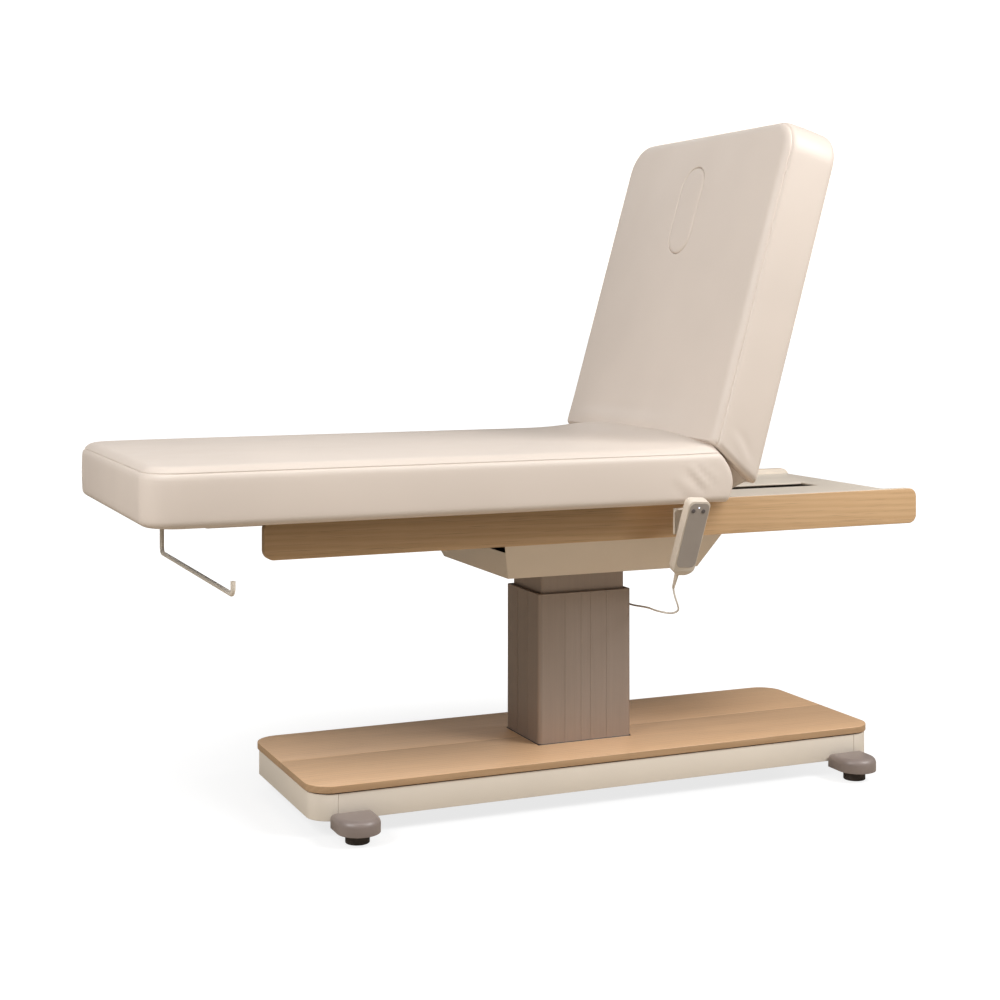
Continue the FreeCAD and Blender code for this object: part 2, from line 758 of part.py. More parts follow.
def make_hinges():
    """Fixed plates on the side tubes, lugs on the backrest board, and the pins through both."""
    down = "tube_top - hinge_height"
    stem = ((-12, 0), (-12, down), (12, down), (12, 0))
    fixed = []
    for i, (low, high) in enumerate(((-246, -240), (240, 246))):
        plate = hinge_plate(f"hinge_fixed_{i}", low, high, stem)
        fixed.append(put(plate, "hinge_along", 0, "hinge_height"))
    foot = ((30, "backrest_base"), (78, "backrest_base"), (78, "backrest_base + 20"))
    lug_stem = ((-4, 10), (4, -11), *foot, (20, 11))
    lugs = []
    for i, (low, high) in enumerate(((-256, -250), (250, 256))):
        lugs.append(hinge_plate(f"hinge_lug_{i}", low, high, lug_stem, 12, 6.08))
    pins = []
    for i, low in enumerate((-258, 238)):
        pins.append(rod(f"hinge_pin_{i}", 6, ("hinge_along", low, "hinge_height"), 20, "y"))
    sub_part("hinge_brackets", group("hinge_brackets", *fixed))
    sub_part("backrest_lugs", group("backrest_lugs", *lugs), BACKREST)
    sub_part("hinge_pins", group("hinge_pins", *pins))


# The actuator's pin on the lever, with the backrest lying flat, about the hinge.
LEVER_ALONG = -83.7
LEVER_DROP = -112
PIN_RADIUS = 6


def make_lever():
    """The lever under the backrest board: a flange, two cranked plates and the pin between them."""
    flange = box("lever_flange", (85, -30, "backrest_base - 5"), (200, 30, "backrest_base"))
    tip = ((LEVER_ALONG - 10, LEVER_DROP + 8), (LEVER_ALONG + 8, LEVER_DROP - 11))
    root = ((190, "backrest_base - 5"), (85, "backrest_base - 5"), (20, "backrest_base - 6"))
    outline = polygon(*tip, *root)
    plates = []
    for i, (low, high) in enumerate(((-22, -16), (16, 22))):
        disc = rod(f"lever_eye_{i}", 14, (LEVER_ALONG, low, LEVER_DROP), high - low, "y")
        arm = prism(f"lever_arm_{i}", "xz", outline, low, high)
        plates.append(fuse(f"lever_plate_{i}", disc, arm))
    hole = rod("lever_hole", PIN_RADIUS, (LEVER_ALONG, -30, LEVER_DROP), 60, "y")
    body = fuse("lever_body", flange, *plates)
    sub_part("backrest_lever", cut("backrest_lever", body, hole), BACKREST)
    pin = group("lever_pin", rod("lever_pin_rod", PIN_RADIUS, (LEVER_ALONG, -25, LEVER_DROP), 50, "y"))
    sub_part("lever_pin", pin, BACKREST)


def make_actuator():
    """The backrest's linear actuator, lying along the bed: rod with a slotted yoke, and its body."""
    height = 598
    pin_x = 305
    barrel = rod("actuator_barrel", 25, (345, 0, height), 265, "x")
    gearbox = box("actuator_gearbox", (600, -34, 562), (662, 34, 638))
    tail = box("actuator_tail", (660, -12, 602), ("tube_head - 40", 12, 626))
    bore = rod("actuator_bore", 10.1, (340, 0, height), 250, "x")
    sub_part("actuator_body", cut("actuator_body", fuse("actuator_case", barrel, gearbox, tail), bore))

    yoke = box("yoke_block", (pin_x - 20, -12, 565), (pin_x + 20, 12, 630))
    slot = box("yoke_slot", (pin_x - PIN_RADIUS - 4, -13, 573), (pin_x + PIN_RADIUS + 4, 13, 622))
    shaft = rod("actuator_shaft", 10, (pin_x + 18, 0, height), 260, "x")
    sub_part("actuator_rod", fuse("actuator_rod", cut("yoke_cut", yoke, slot), shaft))


# ---- small fittings ---------------------------------------------------------------------------


def rod_along(points, radius, bends):
    """A round bar through points, each inner corner bent to its own radius."""
    edges = []
    start = points[0]
    for previous, corner, following, bend in zip(points, points[1:], points[2:], bends):
        back = (previous - corner).normalize()
        ahead = (following - corner).normalize()
        half_turn = (math.pi - back.getAngle(ahead)) / 2
        reach = bend * math.tan(half_turn)
        bisector = (back + ahead).normalize()
        middle = corner + bisector * (bend / math.cos(half_turn) - bend)
        enter = corner + back * reach
        leave = corner + ahead * reach
        edges.append(Part.LineSegment(start, enter).toShape())
        edges.append(Part.Arc(enter, middle, leave).toShape())
        start = leave
    edges.append(Part.LineSegment(start, points[-1]).toShape())
    path = Part.Wire(edges)
    ring = Part.Wire([Part.Circle(points[0], points[1] - points[0], radius).toShape()])
    return path, path.makePipeShell([ring], True, False)


def make_roll_holder():
    """The bent rod for the paper roll under the foot end, and the socket that holds it."""
    x, z, r = number("roll_along"), number("roll_height"), number("roll_radius")
    near, far = number("roll_near") + r, number("roll_far")
    top = number("leg_base") - 10
    points = [V(x, far, top), V(x, far, z), V(x, near, z), V(x, near, z + number("roll_lip"))]
    bend = number("roll_bend")
    sub_part("roll_holder_rod", shape("roll_rod", rod_along(points, r, (bend, bend))[1]))

    boss = rod("socket_boss", 9, ("roll_along", "roll_far", "leg_base - 22"), 22)
    plate = box(
        "socket_plate",
        ("roll_along - 25", "roll_far - 18", "leg_base - 4"),
        ("roll_along + 25", "roll_far + 18", "leg_base"),
    )
    bore = rod("socket_bore", "roll_radius", ("roll_along", "roll_far", "leg_base - 30"), 20)
    holes = []
    screws = []
    for i, side in enumerate((-17, 17)):
        place = (f"roll_along + {side}", "roll_far")
        holes.append(rod(f"socket_hole_{i}", 2.5, (*place, "leg_base - 5"), 6))
        screws.append(rod(f"socket_screw_{i}", 2.5, (*place, "leg_base - 6"), 6))
    socket = cut("roll_holder_socket", fuse("socket_body", boss, plate), bore, *holes)
    sub_part("roll_holder_socket", socket)
    sub_part("roll_holder_screws", group("roll_holder_screws", *screws))


def make_handset_bracket():
    """A bent strip from the near rail, out under the cushion, with a tongue for the handset's hook."""
    wall = 2
    arm_top, arm_front = 654, -376
    arm_low = arm_top - wall
    foot = box("bracket_foot", (154, "-rail_outside - 2", 620), (196, "-rail_outside", arm_top))
    outline = polygon((78, arm_front), (124, arm_front), (196, "-rail_outside"), (154, "-rail_outside"))
    arm = prism("bracket_arm", "xy", outline, arm_low, arm_top)
    link = box("bracket_link", (105, -380.3, arm_low), (118, arm_front + 1, arm_top))
    tongue = box("bracket_tongue", (105, -380.3, arm_low), (118, -380.3 + wall, 656))
    strip = box("bracket_strip", (78, -357, 598), (124, -357 + wall, arm_top))
    lip = box("bracket_lip", (78, -361, 600), (78 + wall, -357 + wall, arm_top))
    sub_part("handset_bracket", fuse("handset_bracket", foot, arm, link, tongue, strip, lip))


def handset_block(name, inset, low, high):
    """The handset's outline, squarer at the top than at the bottom, between two depths."""
    width, length = f"handset_width - 2 * {inset}", f"handset_length - 2 * {inset}"
    top, bottom = 12 - inset, 22 - inset
    whole = prism(f"{name}_whole", "xz", rounded(width, length, bottom), low, high)
    upper = rounded(width, f"{length} - 60", top, ("0", "30"))
    return fuse(f"{name}_block", whole, prism(f"{name}_upper", "xz", upper, low, high))


def chin(name, shift):
    """What the handset keeps of its front: all but a slope under the face plate."""
    end = number("handset_length") / 2 + 1
    beyond = number("handset_depth") / 2 + 1
    rise, depth = 17, 5
    low, high = (shift - beyond + depth, -end), (shift - beyond, rise - end)
    profile = polygon((-beyond, end), (2, end), (2, -end), low, high)
    half_width = "handset_width / 2 + 1"
    return prism(name, "yz", profile, f"-({half_width})", half_width)


def make_handset():
    """The handset: two shells, face plate, indicator, two buttons, circuit board and strain relief."""
    half, wall = number("handset_depth") / 2, number("handset_wall")
    cavity, face = half - wall, -half

    back = handset_block("back_shell", 0, 0, half)
    back_room = handset_block("back_room", wall, -1, cavity)
    hook_top = box("hook_top", (-10, half - 1, 62), (10, 20.5, 65))
    hook_lip = box("hook_lip", (-10, 18.5, 59), (10, 20.5, 65))
    hook = fuse("handset_hook_blank", hook_top, hook_lip)
    shell = cut("handset_back_hollow", back, back_room)
    sub_part("handset_back_shell", fuse("handset_back_shell", shell, hook), HANDSET)

    front = common("front_chin", handset_block("front_shell", 0, face, 0), chin("chin_outside", 0))
    room = handset_block("front_room", wall, -cavity, 1)
    front_room = common("front_room_chin", room, chin("chin_inside", 1.2 * wall))
    plate_outline = rounded(46, 150, 12, ("1", "8.5"))
    plate = prism("face_sheet", "xz", plate_outline, face - 1, face)
    spots = {"button_up": 11, "button_down": -13}
    front_holes = []
    face_holes = []
    for name, x in spots.items():
        start = (x, face - 3, 66)
        front_holes.append(rod(name + "_front_hole", "button_radius + button_gap", start, 8, "y"))
        face_holes.append(rod(name + "_face_hole", "button_radius + button_gap", start, 8, "y"))
        button = rod(name + "_cap", "button_radius", (x, face - 2, 66), 5, "y")
        sub_part(name, group(name, button), HANDSET)
    led_spot = (-1, face - 1.2, 74)
    face_holes.append(rod("led_hole", 1.6, led_spot, 5, "y"))
    sub_part("handset_led", group("handset_led", rod("led", 1.6, led_spot, 1.2, "y")), HANDSET)
    shell = cut("handset_front_shell", front, front_room, *front_holes)
    sub_part("handset_front_shell", shell, HANDSET)
    sub_part("handset_face", cut("handset_face", plate, *face_holes), HANDSET)
    board = box("circuit_board", (-20, "handset_wall", -70), (20, "handset_wall + 1.6", 70))
    sub_part("handset_circuit_board", group("handset_circuit_board", board), HANDSET)

    relief = DOC.addObject("Part::Cone", "relief_cone")
    bind(relief, Radius1=3, Radius2=5, Height=36)
    put(relief, -6, 3, "-handset_length / 2 - 36")
    sub_part("handset_strain_relief", group("handset_strain_relief", relief), HANDSET)


def make_housing_fittings():
    """What the housing holds: the control box, and the gland where the handset's cord goes in."""
    low, high = (-226, -140, "housing_base + housing_sheet"), (-130, 140, 546)
    sub_part("control_box", box("control_box", low, high))
    body = rod("gland_body", 8, (140, 130, 484), 14)
    thread = rod("gland_thread", 5, (140, 130, 490), 16)
    bore = rod("gland_bore", "cord_radius", (140, 130, 484), 30)
    sub_part("cord_gland", cut("cord_gland", fuse("gland_blank", body, thread), bore))


def make_cord():
    """The handset's cord: straight runs joined by tangent arcs as large as the runs allow."""
    points = [V(*point) for point in CORD_ROUTE]
    bends = []
    for a, b, c in zip(points, points[1:], points[2:]):
        turn = (b - a).getAngle(c - b)
        shorter = min((b - a).Length, (c - b).Length)
        bends.append(0.45 * shorter / math.tan(turn / 2))
    radius = number("cord_radius")
    path, solid = rod_along(points, radius, bends)
    expected = math.pi * radius**2 * path.Length
    print("cord length", round(path.Length, 1), "radii", [round(b) for b in bends])
    print("cord volume over section times length", round(solid.Volume / expected, 4))
    sub_part("handset_cord", shape("handset_cord", solid))


def write_parts():
    """Checks every object of the document, then writes each finished piece."""
    DOC.recompute()
    for obj in DOC.Objects:
        if {"Invalid", "Error"} & set(obj.State):
            raise SystemExit(f"{obj.Name} did not compute: {obj.State}")
    for obj in FINISHED:
        if obj.Shape.isNull() or not obj.Shape.isValid() or not obj.Shape.Solids:
            raise SystemExit(f"{obj.Label} has no valid solid")
    os.makedirs("parts", exist_ok=True)
    for obj in FINISHED:
        obj.Shape.exportStep(os.path.join("parts", obj.Label + ".step"))
    print(len(FINISHED), "parts written")


fill_sheet()
make_deck()
make_skirt()
make_base_frame()
make_feet()
make_outer_tube()
make_inner_tubes()
make_glides()
make_lift()
make_housing()
make_frame()
make_leg_cushion()
make_backrest()
make_hinges()
make_lever()
make_actuator()
make_roll_holder()
make_handset_bracket()
make_handset()
make_housing_fittings()
make_cord()
write_parts()
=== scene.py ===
import json
import math

import bmesh
import bpy
import numpy as np
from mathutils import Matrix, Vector


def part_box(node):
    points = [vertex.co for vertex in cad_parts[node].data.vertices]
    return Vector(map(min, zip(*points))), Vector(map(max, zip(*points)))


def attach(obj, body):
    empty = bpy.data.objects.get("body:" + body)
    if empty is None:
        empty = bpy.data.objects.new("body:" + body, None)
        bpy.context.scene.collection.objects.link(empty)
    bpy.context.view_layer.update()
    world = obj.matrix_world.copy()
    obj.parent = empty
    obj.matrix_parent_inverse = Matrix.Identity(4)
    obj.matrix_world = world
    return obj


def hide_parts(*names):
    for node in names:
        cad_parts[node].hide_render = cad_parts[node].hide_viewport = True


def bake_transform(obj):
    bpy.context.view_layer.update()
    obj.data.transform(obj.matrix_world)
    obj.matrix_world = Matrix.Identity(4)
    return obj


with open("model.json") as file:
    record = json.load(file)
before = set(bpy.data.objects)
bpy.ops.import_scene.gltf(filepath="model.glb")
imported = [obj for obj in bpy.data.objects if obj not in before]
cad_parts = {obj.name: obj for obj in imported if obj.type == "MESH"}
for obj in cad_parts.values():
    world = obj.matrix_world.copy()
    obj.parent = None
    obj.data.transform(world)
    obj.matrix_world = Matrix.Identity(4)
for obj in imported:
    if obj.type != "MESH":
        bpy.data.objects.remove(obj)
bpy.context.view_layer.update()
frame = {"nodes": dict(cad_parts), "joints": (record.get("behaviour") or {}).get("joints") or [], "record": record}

MM = 0.001
LINK = bpy.context.scene.collection.objects.link


def middle_of(node):
    """The middle of a CAD node's box."""
    low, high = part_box(node)
    return (low + high) / 2


COLUMN = middle_of("column_outer")
RECLINE = next(j for j in frame["joints"] if j["name"] == "backrest_recline")
HINGE = Vector(RECLINE["pos_m"])
RAISED = math.radians(RECLINE["range_deg"][1])
SLOTS = {s["node"]: s["material_slot"] for s in frame["record"]["subparts"]}


# ---- camera and cord --------------------------------------------------------------------------


def make_camera():
    """A level camera off the near foot corner, at about chest height."""
    data = bpy.data.cameras.new("camera")
    data.lens = 62.31
    data.shift_y = -0.1905
    camera = bpy.data.objects.new("camera", data)
    camera.location = (-1.5758, -3.5797, 1.0776)
    camera.rotation_euler = (math.radians(90), 0, math.radians(-23.285))
    LINK(camera)
    bpy.context.scene.camera = camera
    bpy.context.scene.view_settings.view_transform = "Standard"


# The handset cord's route about the column's axis, from the strain relief to the housing's gland.
CORD_ROUTE = (
    (0.0932, -0.328, 0.481),
    (0.0965, -0.328, 0.462),
    (0.105, -0.328, 0.442),
    (0.109, -0.325, 0.428),
    (0.097, -0.315, 0.4215),
    (0.081, -0.300, 0.4235),
    (0.077, -0.270, 0.424),
    (0.099, -0.212, 0.417),
    (0.118, -0.155, 0.409),
    (0.133, -0.095, 0.401),
    (0.147, -0.033, 0.393),
    (0.158, 0.028, 0.391),
    (0.162, 0.078, 0.402),
    (0.156, 0.113, 0.424),
    (0.145, 0.129, 0.451),
    (0.140, 0.130, 0.484),
)
CORD_RADIUS = 2.2 * MM


def make_cord(material):
    """The handset's cord, on one smooth line from the strain relief to the gland."""
    data = bpy.data.curves.new("handset_lead", "CURVE")
    data.dimensions = "3D"
    spline = data.splines.new("NURBS")
    spline.points.add(len(CORD_ROUTE) - 1)
    for point, (x, y, z) in zip(spline.points, CORD_ROUTE):
        point.co = (x + COLUMN.x, y + COLUMN.y, z, 1)
    spline.order_u = 3
    spline.use_endpoint_u = True
    spline.resolution_u = 12
    data.bevel_depth = CORD_RADIUS
    data.bevel_resolution = 4
    data.use_fill_caps = True
    data.materials.append(material)
    cord = bpy.data.objects.new("handset_lead", data)
    LINK(cord)
    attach(cord, "bed_frame")
    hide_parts("handset_cord")


# ---- materials --------------------------------------------------------------------------------


class Finish:
    """A material's node tree, with short calls to add to it."""

    def __init__(self, name, colour, roughness, **inputs):
        self.material = bpy.data.materials.new(name)
        self.material.use_nodes = True
        self.material.diffuse_color = (*colour, 1)
        self.tree = self.material.node_tree
        self.shader = self.tree.nodes["Principled BSDF"]
        self.put(self.shader, "Base Color", (*colour, 1))
        self.put(self.shader, "Roughness", roughness)
        for key, value in inputs.items():
            self.put(self.shader, key.replace("_", " "), value)
        self.place = self.tree.nodes.new("ShaderNodeTexCoord").outputs["Object"]

    def put(self, node, socket, value):
        """Sets an input to a value, or links it to an output."""
        if isinstance(value, bpy.types.NodeSocket):
            self.tree.links.new(value, node.inputs[socket])
        else:
            node.inputs[socket].default_value = value

    def node(self, kind, inputs=None, **settings):
        node = self.tree.nodes.new("ShaderNode" + kind)
        for key, value in settings.items():
            setattr(node, key, value)
        for socket, value in (inputs or {}).items():
            self.put(node, socket, value)
        return node

    def scaled(self, stretch, turn=(0, 0, 0)):
        """The object's own coordinates, times a scale on each axis."""
        inputs = {"Vector": self.place, "Scale": stretch, "Rotation": turn}
        return self.node("Mapping", inputs).outputs["Vector"]

    def noise(self, scale, detail=3.0, roughness=0.5, vector=None, distortion=0.0):
        inputs = {"Vector": vector or self.place, "Scale": scale, "Detail": detail}
        inputs.update({"Roughness": roughness, "Distortion": distortion})
        return self.node("TexNoise", inputs).outputs["Fac"]

    def cells(self, scale):
        inputs = {"Vector": self.place, "Scale": scale}
        return self.node("TexVoronoi", inputs).outputs["Distance"]

    def span(self, value, low, high, from_low=0.0, from_high=1.0):
        """Value, moved from one range to another and held inside it."""
        inputs = {"Value": value, "From Min": from_low, "From Max": from_high}
        inputs.update({"To Min": low, "To Max": high})
        return self.node("MapRange", inputs).outputs["Result"]

    def mix(self, factor, first, second):
        node = self.node("Mix", {0: factor, 6: first, 7: second}, data_type="RGBA")
        return node.outputs[2]

    def math(self, operation, *values):
        return self.node("Math", dict(enumerate(values)), operation=operation).outputs[0]

    def ramp(self, value, *stops):
        node = self.node("ValToRGB", {"Fac": value})
        elements = node.color_ramp.elements
        while len(elements) < len(stops):
            elements.new(0.5)
        for element, (place, colour) in zip(elements, stops):
            element.position = place
            element.color = (*colour, 1)
        return node.outputs["Color"]

    def bump(self, height, depth):
        """Adds relief of that depth in metres."""
        inputs = {"Height": height, "Strength": 1.0, "Distance": depth}
        self.put(self.shader, "Normal", self.node("Bump", inputs).outputs["Normal"])

    def paint(self, colour):
        self.put(self.shader, "Base Color", colour)

    def gloss(self, roughness):
        self.put(self.shader, "Roughness", roughness)

    def clouded(self, cloud, colour, dark, light):
        """Shades the base colour between two factors as cloud goes from 0.3 to 0.7."""
        self.paint(self.ramp(cloud, (0.3, tint(colour, dark)), (0.7, tint(colour, light))))


def tint(colour, factor):
    return tuple(min(1.0, c * factor) for c in colour)


def leatherette(name, colour):
    """Satin synthetic leather: pebble grain a millimetre across, finer pores and faint clouding."""
    coat = {"Coat_Weight": 0.06, "Coat_Roughness": 0.35}
    finish = Finish(name, colour, 0.48, Specular_IOR_Level=0.42, **coat)
    finish.clouded(finish.noise(3.5, 2.0), colour, 0.965, 1.02)
    pebble = finish.cells(900.0)
    pore = finish.noise(2600.0, 2.0)
    grain = finish.math("MULTIPLY_ADD", pebble, 0.7, finish.math("MULTIPLY", pore, 0.3))
    finish.bump(grain, 0.00012)
    finish.gloss(finish.span(finish.noise(9.0, 3.0), 0.42, 0.55, 0.3, 0.7))
    return finish.material


def oak(name, light, dark):
    """Satin oak veneer with its grain along the bed: year bands, fine figure and dark pores."""
    finish = Finish(name, light, 0.42, Coat_Weight=0.12, Coat_Roughness=0.3)
    long_grain = finish.scaled((0.6, 14.0, 14.0))
    figure = finish.noise(2.4, 4.0, 0.5, long_grain, 0.25)
    bands = finish.node(
        "TexWave",
        {
            "Vector": finish.scaled((0.3, 9.0, 9.0)),
            "Scale": 5.0,
            "Distortion": 3.0,
            "Detail": 3.0,
            "Detail Scale": 1.2,
            "Detail Roughness": 0.6,
        },
        bands_direction="DIAGONAL",
    ).outputs["Fac"]
    fine = finish.noise(45.0, 3.0, 0.6, finish.scaled((0.12, 10.0, 10.0)))
    pores = finish.noise(110.0, 2.0, 0.7, finish.scaled((0.06, 8.0, 8.0)))
    mixed = finish.math("MULTIPLY_ADD", figure, 0.45, finish.math("MULTIPLY", bands, 0.22))
    mixed = finish.math("ADD", mixed, finish.math("MULTIPLY", fine, 0.33))
    between = tuple((a + b) / 2 for a, b in zip(light, dark))
    wood = finish.ramp(mixed, (0.25, dark), (0.5, between), (0.78, light))
    pore_mask = finish.span(pores, 1.0, 0.0, 0.3, 0.4)
    finish.paint(finish.mix(pore_mask, wood, (*tint(dark, 0.72), 1)))
    finish.gloss(finish.span(fine, 0.36, 0.5, 0.3, 0.7))
    finish.bump(finish.math("SUBTRACT", finish.math("MULTIPLY", fine, 0.4), pore_mask), 0.00008)
    return finish.material


def powder_coat(name, colour, roughness=0.42):
    """Sprayed and baked paint with a fine orange peel."""
    finish = Finish(name, colour, roughness, Coat_Weight=0.1, Coat_Roughness=0.3)
    finish.bump(finish.noise(420.0, 2.0), 0.00005)
    cloud = finish.noise(6.0, 2.0)
    finish.clouded(cloud, colour, 0.97, 1.02)
    finish.gloss(finish.span(cloud, roughness - 0.04, roughness + 0.06))
    return finish.material


def moulded(name, colour, roughness=0.45, texture=0.00004, scale=1500.0):
    """Injection moulded plastic or rubber with a spark-eroded texture."""
    finish = Finish(name, colour, roughness)
    finish.bump(finish.cells(scale), texture)
    cloud = finish.noise(14.0, 3.0)
    finish.clouded(cloud, colour, 0.95, 1.04)
    finish.gloss(finish.span(cloud, roughness - 0.05, roughness + 0.08))
    return finish.material


def brushed(name, colour, roughness, stretch, metallic=1.0):
    """Brushed metal, with hairlines along the axis whose stretch is small."""
    finish = Finish(name, colour, roughness, Metallic=metallic)
    lines = finish.noise(160.0, 3.0, 0.6, finish.scaled(stretch))
    broad = finish.noise(14.0, 2.0, 0.5, finish.scaled(stretch))
    both = finish.math("MULTIPLY_ADD", lines, 0.75, finish.math("MULTIPLY", broad, 0.25))
    finish.clouded(both, colour, 0.92, 1.06)
    finish.gloss(finish.span(lines, roughness - 0.06, roughness + 0.1, 0.3, 0.7))
    finish.bump(lines, 0.00003)
    return finish.material


def plywood(name, face, edge):
    """Birch plywood: plain long grain with thin darker glue lines through its thickness."""
    finish = Finish(name, face, 0.6)
    grain = finish.noise(6.0, 4.0, 0.6, finish.scaled((1.0, 14.0, 14.0)), 0.4)
    finish.paint(finish.ramp(grain, (0.25, edge), (0.75, face)))
    finish.bump(finish.noise(80.0, 3.0, 0.6, finish.scaled((0.1, 8.0, 8.0))), 0.0001)
    return finish.material


def lamp(name, colour):
    """The handset's small lit indicator behind a frosted lens."""
    finish = Finish(name, colour, 0.25, Emission_Color=(*colour, 1), Emission_Strength=1.6)
    finish.put(finish.shader, "Emission Strength", finish.span(finish.noise(700.0), 1.3, 1.9))
    return finish.material


FINISHES = {
    "upholstery": leatherette("cream_leatherette", (0.735, 0.643, 0.568)),
    "plywood": plywood("birch_plywood", (0.60, 0.43, 0.27), (0.47, 0.31, 0.18)),
    "oak": oak("oak_veneer", (0.690, 0.460, 0.262), (0.560, 0.352, 0.178)),
    "cream_paint": powder_coat("cream_powder_coat", (0.790, 0.712, 0.612)),
    "cream_laminate": powder_coat("cream_laminate", (0.800, 0.720, 0.620), 0.5),
    "frame_paint": powder_coat("black_powder_coat", (0.035, 0.033, 0.032), 0.5),
    "anodised": brushed("anodised_aluminium", (0.430, 0.356, 0.312), 0.42, (6.0, 6.0, 0.05), 0.6),
    "bright_steel": brushed("zinc_plated_steel", (0.56, 0.56, 0.55), 0.3, (0.1, 5.0, 5.0)),
    "black_plastic": moulded("black_plastic", (0.030, 0.029, 0.028)),
    "actuator_grey": moulded("grey_plastic", (0.46, 0.46, 0.44), 0.45),
    "foot_taupe": moulded("taupe_plastic", (0.270, 0.220, 0.200), 0.38),
    "foot_rubber": moulded("dark_rubber", (0.060, 0.047, 0.040), 0.6, 0.0001, 900.0),
    "handset_shell": moulded("cream_plastic", (0.720, 0.640, 0.545), 0.4),
    "handset_grey": moulded("taupe_film", (0.385, 0.340, 0.305), 0.35),
    "indicator": lamp("indicator_lens", (0.72, 0.80, 1.0)),
    "circuit_green": moulded("green_lacquer", (0.03, 0.15, 0.06), 0.4),
    "cord_cream": moulded("cream_jacket", (0.72, 0.66, 0.58), 0.45),
}
DECK_OAK = oak("deck_oak_veneer", (0.800, 0.520, 0.305), (0.690, 0.430, 0.240))
DECK_EDGE = oak("deck_oak_edge", (0.520, 0.335, 0.190), (0.430, 0.265, 0.140))
BUTTON_GREY = moulded("button_grey", (0.120, 0.105, 0.105), 0.4)
OWN_FINISH = {
    "base_board_near": DECK_OAK,
    "base_board_far": DECK_OAK,
    "button_up": BUTTON_GREY,
    "button_down": BUTTON_GREY,
}


# ---- surfaces ---------------------------------------------------------------------------------

# Points nearer to each other than this are made one.
MERGE = 0.01 * MM


def loop_of(grid):
    """The indices round a grid's rim, from its first corner along its first side."""
    return np.concatenate((grid[:-1, 0], grid[-1, :-1], grid[:0:-1, -1], grid[0, :0:-1]))


class Surface:
    """Points and faces, gathered into one mesh."""

    def __init__(self):
        self.points = []
        self.faces = []

    def add(self, points):
        """Adds an array of points and gives their indices in the same arrangement."""
        start = len(self.points)
        flat = points.reshape(-1, 3)
        self.points.extend(map(tuple, flat))
        return np.arange(start, start + len(flat)).reshape(points.shape[:-1])

    def grid(self, index, flip=False, skip=None):
        """Faces over a grid of indices, but for those that skip holds."""
        for i in range(index.shape[0] - 1):
            for j in range(index.shape[1] - 1):
                if skip is not None and skip[i, j]:
                    continue
                quad = (index[i, j], index[i + 1, j], index[i + 1, j + 1], index[i, j + 1])
                self.faces.append(quad[::-1] if flip else quad)

    def band(self, lower, upper):
        """Faces between two closed loops of indices."""
        self.faces += zip(lower, np.roll(lower, -1), np.roll(upper, -1), upper)

    def ring(self, points, last=None):
        """Adds a closed loop of points, joins it to the last loop and gives its indices."""
        index = self.add(points)
        if last is not None:
            self.band(last, index)
        return index

    def level_ring(self, plan, height, last=None):
        """Adds a loop of points in plan, all at one height."""
        return self.ring(np.column_stack((plan, np.full(len(plan), height))), last)

    def move(self, *shapes):
        """Puts every point through functions that each take and give an array of points."""
        points = np.array(self.points)
        for shape in shapes:
            points = shape(points)
        self.points = list(map(tuple, points))

    def piece(self, name, material):
        mesh = bpy.data.meshes.new(name)
        mesh.from_pydata(self.points, [], [tuple(int(i) for i in face) for face in self.faces])
        work = bmesh.new()
        work.from_mesh(mesh)
        loose = [v for v in work.verts if not v.link_faces]
        bmesh.ops.delete(work, geom=loose, context="VERTS")
        bmesh.ops.remove_doubles(work, verts=work.verts, dist=MERGE)
        bmesh.ops.recalc_face_normals(work, faces=work.faces)
        work.to_mesh(mesh)
        work.free()
        mesh.shade_smooth()
        mesh.materials.append(material)
        piece = bpy.data.objects.new(name, mesh)
        LINK(piece)
        return piece


# ---- rigid pieces -----------------------------------------------------------------------------


# An edge that turns by more than this is rounded or kept sharp.
SHARP = math.radians(32)


def tidy_copy(node, name, bevel):
    """A CAD node's shape as one clean mesh with its hard edges rounded to that radius."""
    source = frame["nodes"][node]
    mesh = bpy.data.meshes.new(name)
    work = bmesh.new()
    work.from_mesh(source.data)
    bmesh.ops.remove_doubles(work, verts=work.verts, dist=MERGE)
    flat = math.radians(0.8)
    bmesh.ops.dissolve_limit(
        work, angle_limit=flat, verts=work.verts, edges=work.edges, delimit=set()
    )
    hard = [e for e in work.edges if len(e.link_faces) == 2 and e.calc_face_angle(0) > SHARP]
    if hard:
        bmesh.ops.bevel(
            work,
            geom=hard,
            offset=bevel,
            offset_type="OFFSET",
            segments=3,
            profile=0.5,
            affect="EDGES",
            clamp_overlap=True,
            loop_slide=True,
        )
    bmesh.ops.recalc_face_normals(work, faces=work.faces)
    work.to_mesh(mesh)
    work.free()
    mesh.shade_smooth()
    mesh.set_sharp_from_angle(angle=SHARP)
    piece = bpy.data.objects.new(name, mesh)
    LINK(piece)
    return piece


def dress(node):
    """Gives a CAD node its finish, on a copy with rounded edges where it has a bevel."""
    finish = OWN_FINISH.get(node, FINISHES[SLOTS[node]])
    bevel = BEVELS.get(node, 0) * MM
    if not bevel:
        mesh = frame["nodes"][node].data
        mesh.materials.clear()
        mesh.materials.append(finish)
        return
    body = next(b for b, nodes in frame["record"]["behaviour"]["bodies"].items() if node in nodes)
    piece = tidy_copy(node, node + "_shape", bevel)
    piece.data.materials.append(finish)
    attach(piece, body)
    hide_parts(node)


